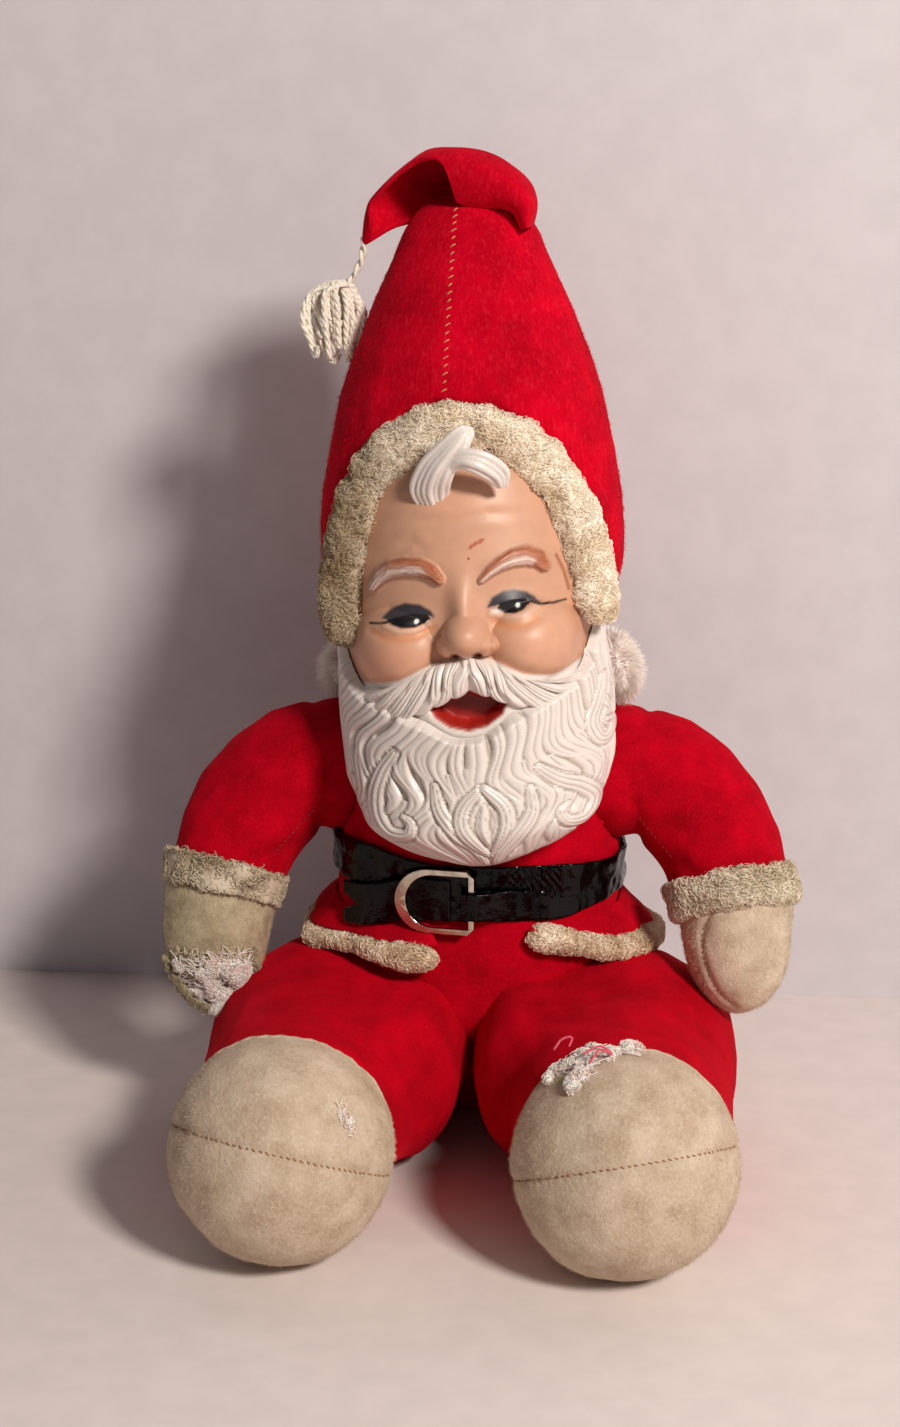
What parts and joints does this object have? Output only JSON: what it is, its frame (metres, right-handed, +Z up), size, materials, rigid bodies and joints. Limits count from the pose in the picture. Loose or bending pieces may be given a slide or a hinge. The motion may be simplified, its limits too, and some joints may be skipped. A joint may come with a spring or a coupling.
{
  "type": "stuffed santa doll",
  "caption": "Seated stuffed santa doll with a moulded face and beard, pointed hat with a folded tip and tassel, belt with a buckle, and arms, legs and head that move",
  "frame": {"origin": "middle of the flat seat face, on the surface the doll sits on", "axes": "+Z up, -Y the doll's front, +X the doll's left"},
  "size_m": [0.2868, 0.253, 0.4331],
  "materials": {
    "red_plush": "short-pile plush",
    "cream_plush": "worn short-pile plush",
    "cream_fleece": "curly fleece",
    "white_fur": "long-pile fur",
    "vinyl_face": "satin moulded vinyl, painted",
    "black_vinyl": "glossy creased vinyl",
    "nickel": "plated, slightly tarnished",
    "yarn": "plied yarn"
  },
  "bodies": {
    "trunk": {"torso": "red_plush", "belt_band": "black_vinyl", "belt_tongue": "black_vinyl", "belt_tab": "black_vinyl", "belt_buckle": "nickel", "collar": "white_fur", "skirt_left": "red_plush", "skirt_right": "red_plush", "hem_trim_left": "cream_fleece", "hem_trim_right": "cream_fleece"},
    "head": {"head_core": "red_plush", "hat_crown": "red_plush", "face_mask": "vinyl_face", "face_trim": "cream_fleece"},
    "hat_fold": {"hat_tip": "red_plush"},
    "tassel_hang": {"tassel_tie": "yarn", "tassel": "yarn"},
    "arm_left": {"sleeve_left": "red_plush", "cuff_left": "cream_fleece", "mitten_left": "cream_plush"},
    "arm_right": {"sleeve_right": "red_plush", "cuff_right": "cream_fleece", "mitten_right": "cream_plush"},
    "leg_left_body": {"leg_left": "red_plush", "foot_upper_left": "cream_plush", "foot_sole_left": "cream_plush"},
    "leg_right_body": {"leg_right": "red_plush", "foot_upper_right": "cream_plush", "foot_sole_right": "cream_plush"}
  },
  "joints": [
    {"name": "head_turn", "type": "hinge", "parent": "trunk", "child": "head", "pos_m": [0, 0.006, 0.204], "axis": [0, 0, 1], "range_deg": [-10, 10]},
    {"name": "hat_tip_lift", "type": "hinge", "parent": "head", "child": "hat_fold", "pos_m": [0.0188, 0.002, 0.408], "axis": [0, 1, 0], "range_deg": [0, 60]},
    {"name": "tassel_swing", "type": "hinge", "parent": "hat_fold", "child": "tassel_hang", "pos_m": [-0.0502, 0.002, 0.3916], "axis": [0, 1, 0], "range_deg": [0, 60]},
    {"name": "shoulder_left", "type": "hinge", "parent": "trunk", "child": "arm_left", "pos_m": [0.062, 0.003, 0.164], "axis": [-1, 0, 0], "range_deg": [0, 110]},
    {"name": "shoulder_right", "type": "hinge", "parent": "trunk", "child": "arm_right", "pos_m": [-0.062, 0.003, 0.164], "axis": [-1, 0, 0], "range_deg": [0, 110]},
    {"name": "hip_left", "type": "hinge", "parent": "trunk", "child": "leg_left_body", "pos_m": [0.064, -0.016, 0.0415], "axis": [1, 0, 0], "range_deg": [0, 45]},
    {"name": "hip_right", "type": "hinge", "parent": "trunk", "child": "leg_right_body", "pos_m": [-0.064, -0.016, 0.0415], "axis": [1, 0, 0], "range_deg": [0, 45]}
  ]
}
